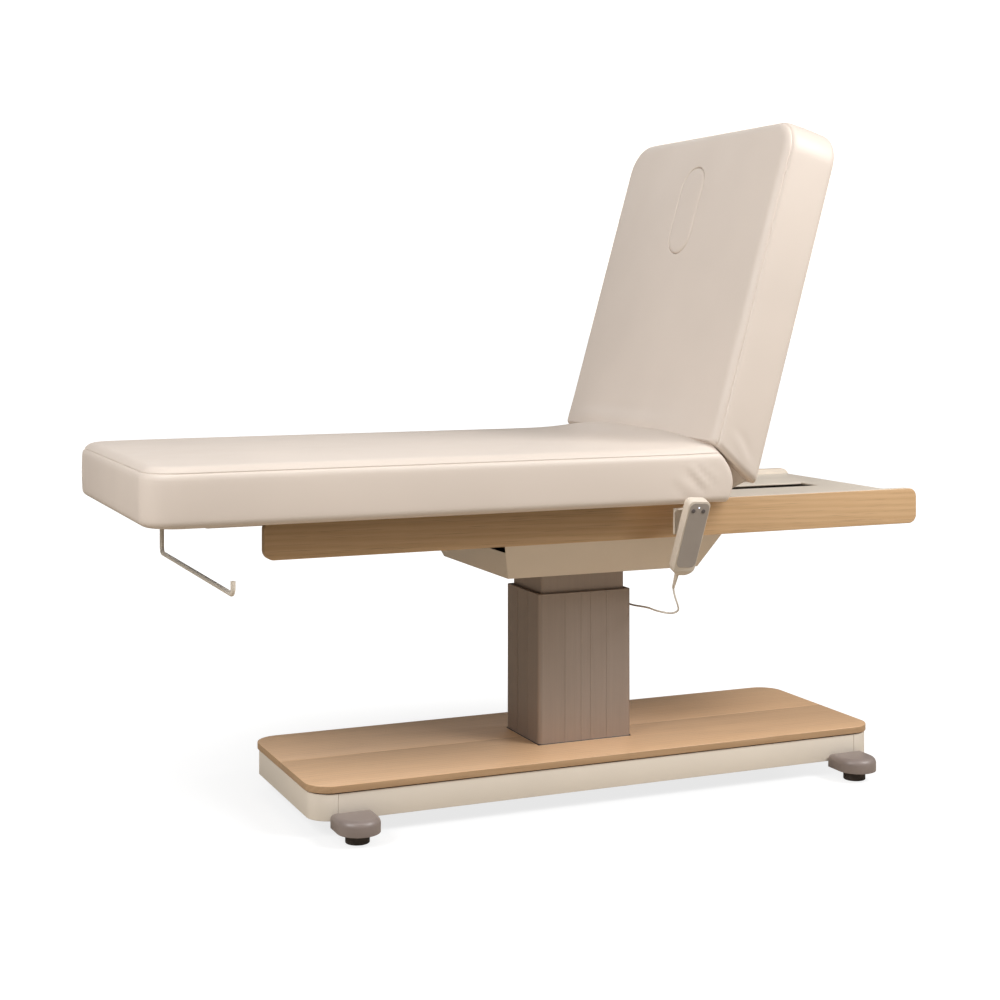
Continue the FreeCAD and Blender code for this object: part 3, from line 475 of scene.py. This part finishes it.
# Radii of rounded edges, in millimetres.
BEVELS = {
    "rail_near": 1.6,
    "rail_far": 1.6,
    "base_board_near": 1.2,
    "base_board_far": 1.2,
    "skirt_side_near": 0.8,
    "skirt_side_far": 0.8,
    "skirt_end_foot": 0.8,
    "skirt_end_head": 0.8,
    "housing_side_near": 0.8,
    "housing_side_far": 0.8,
    "housing_end_foot": 0.8,
    "housing_end_head": 0.8,
    "head_panel": 1.0,
    "foot_caps": 5.0,
    "handset_back_shell": 2.0,
    "handset_front_shell": 2.5,
    "handset_bracket": 0.8,
    "handset_strain_relief": 0.6,
    "control_box": 2.0,
    "cord_gland": 1.0,
    "backrest_board": 1.0,
    "leg_board": 1.0,
    "button_up": 0.5,
    "button_down": 0.5,
    "foot_pad_near_foot": 2.0,
    "foot_pad_near_head": 2.0,
    "foot_pad_far_foot": 2.0,
    "foot_pad_far_head": 2.0,
}


def second_finish(node, material, chosen):
    """Gives a second finish to the faces of a dressed piece whose normals are chosen."""
    mesh = bpy.data.objects[node + "_shape"].data
    mesh.materials.append(material)
    for face in mesh.polygons:
        if chosen(face.normal):
            face.material_index = 1


def finish_edges():
    """Cream laminate inside and on top of the rails, and darker edges round the base boards."""
    laminate = FINISHES["cream_laminate"]
    for node, side in (("rail_near", 1), ("rail_far", -1)):
        second_finish(node, laminate, lambda n, side=side: n.y * side > 0.9 or n.z > 0.9)
    for node in ("base_board_near", "base_board_far"):
        second_finish(node, DECK_EDGE, lambda n: abs(n.z) < 0.4)


def make_column_seal():
    """The thin black seal round the column's foot, where it goes through the base boards."""
    low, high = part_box("column_outer")
    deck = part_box("base_board_near")[1].z
    radius = 10 * MM
    half_x, half_y = (high.x - low.x) / 2, (high.y - low.y) / 2
    surface = Surface()
    last = None
    for spread, rise in ((1.3 * MM, -1.0 * MM), (1.3 * MM, 0.8 * MM), (-0.4 * MM, 1.3 * MM)):
        ring = []
        for corner in range(4):
            middle_x = (half_x - radius) * (1 if corner in (0, 3) else -1)
            middle_y = (half_y - radius) * (1 if corner in (0, 1) else -1)
            for angle in np.radians(np.linspace(0, 90, 7)) + corner * math.pi / 2:
                x = middle_x + (radius + spread) * math.cos(angle)
                y = middle_y + (radius + spread) * math.sin(angle)
                ring.append((COLUMN.x + x, COLUMN.y + y, deck + rise))
        last = surface.ring(np.array(ring), last)
    piece = surface.piece("column_seal", FINISHES["black_plastic"])
    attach(piece, "base")


def dress_all():
    """Finishes every CAD node that no made piece stands for."""
    stood_for = {"leg_cushion", "backrest_cushion", "breath_plug", "handset_cord"}
    for node in frame["nodes"]:
        if node not in stood_for:
            dress(node)
    finish_edges()


# ---- upholstery -------------------------------------------------------------------------------

# Steps in half of a rounded corner.
ARC_STEPS = 7


def ease(value):
    """From 0 to 1, smoothly, as value goes from 0 to 1."""
    t = np.clip(value, 0, 1)
    return t * t * (3 - 2 * t)


def bell(value, width):
    return np.exp(-((value / width) ** 2))


def outline(free_end, hinge_end, half, free_radius, hinge_radius, along, across):
    """The four sides of a rounded rectangle, each from the middle of one corner to the next.

    along and across place the points on the straight stretches, from 0 to 1."""
    corners = (
        (free_end + free_radius, -half + free_radius, free_radius),
        (hinge_end - hinge_radius, -half + hinge_radius, hinge_radius),
        (hinge_end - hinge_radius, half - hinge_radius, hinge_radius),
        (free_end + free_radius, half - free_radius, free_radius),
    )
    places = (along, across, 1 - along[::-1], across)
    sides = []
    for k in range(4):
        turn = math.radians(270 + 90 * k)
        out = np.array((math.cos(turn), math.sin(turn)))
        ends = []
        arcs = []
        spans = ((turn - math.pi / 4, turn), (turn, turn + math.pi / 4))
        for (x, y, radius), (first, last) in zip((corners[k], corners[(k + 1) % 4]), spans):
            angles = np.linspace(first, last, ARC_STEPS + 1)
            arcs.append(np.stack((x + radius * np.cos(angles), y + radius * np.sin(angles)), 1))
            ends.append(np.array((x, y)) + radius * out)
        fractions = places[k][1:-1, None]
        straight = ends[0] * (1 - fractions) + ends[1] * fractions
        sides.append(np.concatenate((arcs[0], straight, arcs[1])))
    return sides


def patch(sides):
    """A grid of points inside four sides that meet at their ends."""
    near, end, far, start = sides
    far = far[::-1]
    start = start[::-1]
    steps = np.linalg.norm(np.diff(near, axis=0), axis=1)
    u = np.concatenate(((0,), np.cumsum(steps))) / steps.sum()
    steps = np.linalg.norm(np.diff(end, axis=0), axis=1)
    v = np.concatenate(((0,), np.cumsum(steps))) / steps.sum()
    u = u[:, None, None]
    v = v[None, :, None]
    across = (1 - v) * near[:, None] + v * far[:, None]
    along = (1 - u) * start[None] + u * end[None]
    corner = (1 - u) * ((1 - v) * near[0] + v * far[0]) + u * ((1 - v) * near[-1] + v * far[-1])
    return across + along - corner


# Sizes that both cushions share, in metres: outline, edges, stitched seam, bulge and crown.
HALF_WIDTH = 0.375
CORNER = 0.075
HINGE_CORNER = 0.014
SEAM_DROP = 0.013
EDGE = 0.026
BASE_EDGE = 0.016
SEAM_DEPTH = 0.0022
SEAM_WIDTH = 0.0016
SIDE_SWELL = 0.002
CROWN = 0.008


def profile(height, seam):
    """Inset and height of each ring, from the flat base over the side and seam to the flat top."""
    rings = []
    for angle in np.radians(np.linspace(-90, 0, 7)):
        rings.append((BASE_EDGE * (1 - math.cos(angle)), BASE_EDGE * (1 + math.sin(angle))))
    for level in np.linspace(BASE_EDGE, height - EDGE, 9)[1:-1]:
        rings.append((0.0, level))
    seam_angle = math.degrees(math.asin((seam - height + EDGE) / EDGE))
    seam_steps = (-9, -5.5, -3.5, -1.8, 0, 1.8, 3.5, 5.5, 9)
    angles = [0, seam_angle / 2 - 3, *(seam_angle + s for s in seam_steps)]
    angles += list(np.linspace(seam_angle + 9, 90, 9)[1:])
    for angle in np.radians(angles):
        rings.append((EDGE * (1 - math.cos(angle)), height - EDGE * (1 - math.sin(angle))))
    return rings


def stations(length, hinge_length, step, hinge_step):
    """Places along a side from 0 to 1, closer together near the hinge end."""
    plain = np.arange(0, length - hinge_length, step)
    fine = np.arange(length - hinge_length, length + hinge_step / 2, hinge_step)
    places = np.concatenate((plain, fine))
    return places / places[-1]


def cushion_rings(length, height):
    """Rings and cap sides of a cushion in its own frame: hinge end's top at x 0, base at z 0."""
    along = stations(length - CORNER - HINGE_CORNER, 0.25, 0.014, 0.006)
    across = np.linspace(0, 1, 46)
    seam = height - SEAM_DROP
    rings = []
    for inset, level in profile(height, seam):
        groove = SEAM_DEPTH * bell(level - seam, SEAM_WIDTH)
        part = level / height
        bulge = SIDE_SWELL * math.sin(math.pi * part) if part < 1 else 0
        tuck = inset + groove - bulge
        sides = outline(
            -length + tuck,
            -0.06 * tuck,
            HALF_WIDTH - tuck,
            CORNER - tuck,
            HINGE_CORNER - 0.4 * tuck,
            along,
            across,
        )
        rings.append([np.column_stack((s, np.full(len(s), level))) for s in sides])
    return rings


def crown_height(points, length):
    """How far the foam stands up over its flat top: most in the middle, none at the sides."""
    across = 1 - np.abs(points[:, 1] / HALF_WIDTH) ** 3.2
    along = 1 - np.abs(np.clip((-points[:, 0] - length / 2) / (length / 2), 0, 1)) ** 4
    return CROWN * np.clip(across, 0, 1) * along


def shape_cushion(points, length, height, lean, end_swell):
    """Leans the hinge end, rounds it and raises the crown, on points in the cushion's own frame."""
    x, y, z = points.T
    low = 1 - z / height
    near_end = ease((x + 0.16) / 0.16)
    belly = end_swell * np.sin(np.pi * np.clip(z / height, 0, 1)) * ease((x + 0.05) / 0.05)
    lift = ease((z - height + EDGE) / EDGE)
    crown = crown_height(points, length) * lift
    return np.stack((x + lean * low * near_end + belly, y, z + crown), 1)


class Fold:
    """A soft crease in the side of a cushion, from one point of the side view to another."""

    def __init__(self, start, end, width, height):
        self.start = np.array(start)
        self.end = np.array(end)
        self.width = width
        self.height = height

    def at(self, x, z):
        along = self.end - self.start
        length = np.hypot(*along)
        along = along / length
        dx = x - self.start[0]
        dz = z - self.start[1]
        t = (dx * along[0] + dz * along[1]) / length
        d = dx * -along[1] + dz * along[0]
        fade = ease(t * 3) * ease((1 - t) * 3)
        offset = self.width * 0.7
        ridge = bell(d - offset, self.width) - 0.9 * bell(d + offset, self.width)
        return self.height * fade * ridge


def fold_sides(points, near_folds, far_folds):
    """Moves the side faces out and in along their folds."""
    x, y, z = points.T
    side = ease((np.abs(y) - HALF_WIDTH + 0.03) / 0.03)
    push = np.zeros(len(points))
    for folds, mask in ((near_folds, y < 0), (far_folds, y >= 0)):
        for fold in folds:
            push += fold.at(x, z) * mask
    return np.stack((x, y + np.sign(y) * push * side, z), 1)


def ripple(points, spots):
    """Low swellings in a top face: each one's place, its reach along and across, and its height."""
    x, y, z = points.T
    lift = np.zeros(len(points))
    for at_x, at_y, reach_x, reach_y, height in spots:
        lift += height * bell(x - at_x, reach_x) * bell(y - at_y, reach_y)
    return np.stack((x, y, z + lift), 1)


def cushion_surface(rings, hole=None):
    """A closed surface over the rings, and the index grid of its top."""
    surface = Surface()
    bottom = surface.add(patch(rings[0]))
    surface.grid(bottom, flip=True)
    last = loop_of(bottom)
    for ring in rings[1:-1]:
        last = surface.ring(np.concatenate([side[:-1] for side in ring]), last)
    flat = patch(rings[-1])
    top = surface.add(flat)
    surface.band(last, loop_of(top))
    skip = hole.cut(surface, flat, top) if hole else None
    surface.grid(top, skip=skip)
    return surface


class BreathHole:
    """The stadium-shaped hole in the backrest, in the backrest cushion's own frame."""

    STEPS = 9
    MARGIN = 0.040
    ROLL = 0.004
    DEPTHS = (0.015, 0.030, 0.060)
    FINE = 1440
    SQUEEZE = 0.62

    def __init__(self, centre, length, width, top):
        self.centre = centre
        self.length = length
        self.width = width
        self.top = top

    def rim(self, count, inset=0.0):
        """Points round the stadium, evenly spaced, from its far end in x."""
        radius = self.width / 2 - inset
        run = self.length - self.width
        total = 2 * run + 2 * math.pi * radius
        quarter = math.pi * radius / 2
        points = []
        for s in np.arange(count) / count * total:
            if s < quarter:
                angle = s / radius
                points.append((run / 2 + radius * math.cos(angle), radius * math.sin(angle)))
            elif s < quarter + run:
                points.append((run / 2 - (s - quarter), radius))
            elif s < 3 * quarter + run:
                angle = math.pi / 2 + (s - quarter - run) / radius
                points.append((-run / 2 + radius * math.cos(angle), radius * math.sin(angle)))
            elif s < 3 * quarter + 2 * run:
                points.append((-run / 2 + (s - 3 * quarter - run), -radius))
            else:
                angle = 1.5 * math.pi + (s - 3 * quarter - 2 * run) / radius
                points.append((run / 2 + radius * math.cos(angle), radius * math.sin(angle)))
        return np.array(points) + (self.centre, 0)

    def cut(self, surface, flat, top):
        """Joins the top's grid to the hole's rim and walls, and says which faces to leave out."""
        middle_row = flat.shape[0] // 2
        off_x = np.abs(flat[:, 0, 0] - self.centre)
        off_y = np.abs(flat[middle_row, :, 1])
        rows = np.flatnonzero(off_x < self.length / 2 + self.MARGIN)
        columns = np.flatnonzero(off_y < self.width / 2 + self.MARGIN)
        block = top[rows[0] : rows[-1] + 1, columns[0] : columns[-1] + 1]
        skip = np.zeros((top.shape[0] - 1, top.shape[1] - 1), bool)
        skip[rows[0] : rows[-1], columns[0] : columns[-1]] = True
        last = loop_of(block)
        outer = np.array(surface.points)[last]
        shares = self.matched(outer)
        edge = self.rim_at(shares, -1.02 * self.ROLL)
        for step in range(1, self.STEPS + 1):
            t = 1 - (1 - step / self.STEPS) ** 1.6
            last = surface.level_ring(outer[:, :2] * (1 - t) + edge * t, self.top, last)
        for angle in np.radians((15, 32, 50, 70, 90)):
            plan = self.rim_at(shares, -self.ROLL * (1 - math.sin(angle)))
            last = surface.level_ring(plan, self.top - self.ROLL * (1 - math.cos(angle)), last)
        for depth in self.DEPTHS:
            last = surface.level_ring(self.rim_at(shares), self.top - depth, last)
        surface.faces.append(tuple(last))
        return skip

    def matched(self, outer):
        """Where round the rim each point of the outer loop belongs, from 0 to 1."""
        fine = self.rim(self.FINE)
        around = np.arctan2(fine[:, 1], (fine[:, 0] - self.centre) * self.SQUEEZE)
        turn = np.arctan2(outer[:, 1], (outer[:, 0] - self.centre) * self.SQUEEZE)
        order = np.argsort(around)
        shares = np.arange(self.FINE) / self.FINE
        unwrapped = np.unwrap(shares[order] * 2 * math.pi) / (2 * math.pi)
        return np.interp(turn, around[order], unwrapped)

    def rim_at(self, shares, inset=0.0):
        """The rim's points at those shares of the way round it."""
        fine = self.rim(self.FINE, inset)
        closed = np.vstack((fine, fine[:1]))
        places = np.arange(self.FINE + 1) / self.FINE
        x = np.interp(shares % 1, places, closed[:, 0])
        y = np.interp(shares % 1, places, closed[:, 1])
        return np.stack((x, y), 1)


# The leg cushion and the backrest cushion, each with its hinge end's top edge at its own zero.
LEG_LOW, LEG_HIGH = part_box("leg_cushion")
LEG_LENGTH = 1.228
LEG_LEAN = 0.029
LEG_HEIGHT = LEG_HIGH.z - LEG_LOW.z
BACK_LENGTH = 0.734
BACK_LEAN = 0.062
BACK_HEIGHT = 0.130
BACK_BASE = -0.061
BACK_CREASE = 0.054
HOLE = BreathHole(-0.538, 0.215, 0.100, BACK_HEIGHT)
PLUG_GAP = 0.001
PLUG_TOP = BACK_HEIGHT + 0.0006
PLUG_FOOT = 0.0125
PLUG_ROLL = 0.005


def crease_swell(points, height, rise, reach):
    """Foam pushed up where the two cushions press together, most in the middle of the width."""
    x, y, z = points.T
    across = 1 - np.clip(np.abs(y / HALF_WIDTH), 0, 1) ** 2.4
    swell = rise * across * bell(x, reach) * ease((z - height + EDGE) / EDGE)
    return np.stack((x, y, z + swell), 1)


def leg_points(points):
    """The leg cushion's soft shape, with its folds and ripples at the crease."""
    points = shape_cushion(points, LEG_LENGTH, LEG_HEIGHT, LEG_LEAN, 0.024)
    points = crease_swell(points, LEG_HEIGHT, 0.020, 0.085)
    near = (
        Fold((-0.085, 0.085), (-0.020, 0.020), 0.008, 0.0026),
        Fold((-0.060, 0.090), (0.005, 0.035), 0.006, 0.0018),
        Fold((-0.120, 0.060), (-0.060, 0.012), 0.010, 0.0012),
    )
    far = (
        Fold((-0.075, 0.080), (-0.010, 0.028), 0.008, 0.0024),
        Fold((-0.110, 0.070), (-0.045, 0.015), 0.009, 0.0015),
    )
    points = fold_sides(points, near, far)
    spots = (
        (-0.020, -0.230, 0.030, 0.120, 0.003),
        (-0.030, 0.120, 0.035, 0.150, 0.003),
        (-0.090, -0.060, 0.030, 0.200, -0.0015),
    )
    return ripple(points, spots)


def back_points(points):
    """The backrest cushion's soft shape, with its folds and ripples at the crease."""
    points = shape_cushion(points, BACK_LENGTH, BACK_HEIGHT, BACK_LEAN, 0.004)
    points = crease_swell(points, BACK_HEIGHT, 0.010, 0.060)
    near = (
        Fold((-0.030, 0.090), (0.030, 0.030), 0.009, 0.0024),
        Fold((-0.100, 0.085), (-0.010, 0.020), 0.012, 0.0014),
    )
    far = (Fold((-0.040, 0.088), (0.030, 0.025), 0.009, 0.0022),)
    points = fold_sides(points, near, far)
    spots = (
        (-0.022, -0.200, 0.018, 0.090, 0.0035),
        (-0.024, 0.060, 0.018, 0.110, 0.003),
        (-0.050, -0.080, 0.016, 0.160, -0.002),
    )
    return ripple(points, spots)


def to_leg(points):
    """From the leg cushion's own frame to its place on the bed."""
    top_end = LEG_LOW.x + LEG_LENGTH
    return points + (top_end, COLUMN.y, LEG_LOW.z)


def to_back(points):
    """From the backrest cushion's own frame to its raised place about the hinge."""
    along = BACK_CREASE - points[:, 0]
    up = points[:, 2] + BACK_BASE
    c, s = math.cos(RAISED), math.sin(RAISED)
    return np.stack(
        (HINGE.x + along * c - up * s, COLUMN.y - points[:, 1], HINGE.z + along * s + up * c), 1
    )


def across_hinge(piece):
    """Bakes the placement of a piece at the crease into its points."""
    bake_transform(piece)


def make_leg_upholstery():
    surface = cushion_surface(cushion_rings(LEG_LENGTH, LEG_HEIGHT))
    surface.move(leg_points, to_leg)
    piece = surface.piece("leg_upholstery", FINISHES["upholstery"])
    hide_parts("leg_cushion")
    across_hinge(piece)


def make_backrest_upholstery():
    surface = cushion_surface(cushion_rings(BACK_LENGTH, BACK_HEIGHT), HOLE)
    surface.move(back_points, to_back)
    piece = surface.piece("backrest_upholstery", FINISHES["upholstery"])
    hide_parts("backrest_cushion")
    across_hinge(piece)


def make_plug():
    """The padded plug in the breathing hole, with a soft rolled edge and a flat foot."""
    surface = Surface()
    count = 96
    rings = []
    for shrink in (0.042, 0.034, 0.024, 0.015, 0.009):
        rings.append((shrink, PLUG_TOP + 0.0012 * (shrink / 0.042) ** 0.5))
    for angle in np.radians((75, 55, 38, 20, 0)):
        level = PLUG_TOP - PLUG_ROLL * (1 - math.sin(angle))
        rings.append((PLUG_ROLL * (1 - math.cos(angle)), level))
    rings += [(0, 0.08), (0, 0.04), (0, PLUG_FOOT)]
    last = None
    for inset, level in rings:
        last = surface.level_ring(HOLE.rim(count, inset + PLUG_GAP), level, last)
    surface.faces.append(tuple(range(count)))
    surface.faces.append(tuple(last[::-1]))
    surface.move(back_points, to_back)
    piece = surface.piece("breath_plug_pad", FINISHES["upholstery"])
    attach(piece, "breath_plug")
    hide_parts("breath_plug")


def make_gussets():
    """The folded cover inside the crease at each side, between the two cushions' ends."""
    steps = 14
    turns = 9
    for name, side in (("near", -1), ("far", 1)):
        surface = Surface()
        rows = []
        for step in range(steps + 1):
            t = step / steps
            level = LEG_HEIGHT * (0.93 - 0.86 * t)
            leg = to_leg(np.array(((LEG_LEAN * (1 - level / LEG_HEIGHT), 0, level),)))[0]
            height = BACK_HEIGHT * (0.93 - 0.86 * t)
            heel = to_back(np.array(((BACK_LEAN * (1 - height / BACK_HEIGHT), 0, height),)))[0]
            gap = np.linalg.norm(heel - leg)
            row = []
            for turn in range(turns + 1):
                s = turn / turns
                point = leg * (1 - s) + heel * s
                sink = 0.030 + (0.004 + 0.35 * gap * (1 - 0.6 * t)) * math.sin(math.pi * s) ** 0.8
                row.append((point[0], COLUMN.y + side * (HALF_WIDTH - sink), point[2]))
            rows.append(row)
        rows.append([(x, COLUMN.y + side * 0.285, z) for x, _, z in rows[-1]])
        surface.grid(surface.add(np.array(rows)))
        piece = surface.piece(f"crease_gusset_{name}", FINISHES["upholstery"])
        thick = piece.modifiers.new("cloth", "SOLIDIFY")
        thick.thickness = 0.0012
        across_hinge(piece)


# ---- stage ------------------------------------------------------------------------------------


def make_floor():
    """A wide white floor: bright to the eye, dim as a source of light, and only faintly shaded; its glow to the
    eye is weaker near the middle, a painted shade round the bed.
    """
    mesh = bpy.data.meshes.new("studio_floor")
    half = 60.0
    corners = [(-half, -half, 0), (half, -half, 0), (half, half, 0), (-half, half, 0)]
    mesh.from_pydata(corners, [], [(0, 1, 2, 3)])
    floor = bpy.data.objects.new("studio_floor", mesh)
    floor.location.z = -0.0005
    LINK(floor)
    finish = Finish("studio_floor", (0.22, 0.22, 0.22), 0.8, Emission_Color=(1, 1, 1, 1))
    distance = finish.node("VectorMath", {0: finish.place}, operation="LENGTH").outputs["Value"]
    seen = finish.node("LightPath").outputs["Is Camera Ray"]
    finish.paint(finish.mix(seen, (0.46, 0.395, 0.315, 1), (0.22, 0.22, 0.22, 1)))
    # To the eye the floor glows less within about a metre of the middle: a painted shade round the bed.
    glow_with_painted_shade = finish.math("MULTIPLY", finish.span(distance, 0.79, 1.1, 0.6, 1.6), seen)
    finish.put(finish.shader, "Emission Strength", glow_with_painted_shade)
    finish.bump(finish.noise(40.0), 0.0002)
    mesh.materials.append(finish.material)


def area_light(name, place, target, size, power):
    """A rectangular soft light that faces its target, with its power in watts."""
    data = bpy.data.lights.new(name, "AREA")
    data.shape = "RECTANGLE"
    data.size, data.size_y = size
    data.energy = power
    light = bpy.data.objects.new(name, data)
    light.location = place
    light.rotation_euler = (Vector(target) - Vector(place)).to_track_quat("-Z", "Y").to_euler()
    LINK(light)


def make_lights():
    """A white room, a soft key at the near side of the head end, and three weaker fills."""
    world = bpy.data.worlds.new("white_room")
    bpy.context.scene.world = world
    world.use_nodes = True
    nodes = world.node_tree.nodes
    sky = nodes["Background"]
    sky.inputs["Color"].default_value = (1.0, 0.96, 0.90, 1)
    path = nodes.new("ShaderNodeLightPath")
    strength = nodes.new("ShaderNodeMapRange")
    strength.inputs["To Min"].default_value = 0.15
    strength.inputs["To Max"].default_value = 1.3
    links = world.node_tree.links
    links.new(path.outputs["Is Camera Ray"], strength.inputs["Value"])
    links.new(strength.outputs["Result"], sky.inputs["Strength"])
    area_light("key", (2.4, -2.3, 3.2), (0.6, 0, 0.6), (1.8, 1.8), 144)
    area_light("top", (-0.7, -1.6, 3.5), (-0.2, 0, 0.4), (2.6, 1.6), 20)
    area_light("foot_side", (-3.2, -1.2, 2.8), (0, 0, 0.7), (2.0, 1.8), 103)
    area_light("far_fill", (0.4, 2.6, 2.6), (0, 0, 0.3), (2.4, 1.6), 12)


make_camera()
make_cord(FINISHES["cord_cream"])
dress_all()
make_column_seal()
make_leg_upholstery()
make_backrest_upholstery()
make_plug()
make_gussets()
make_floor()
make_lights()
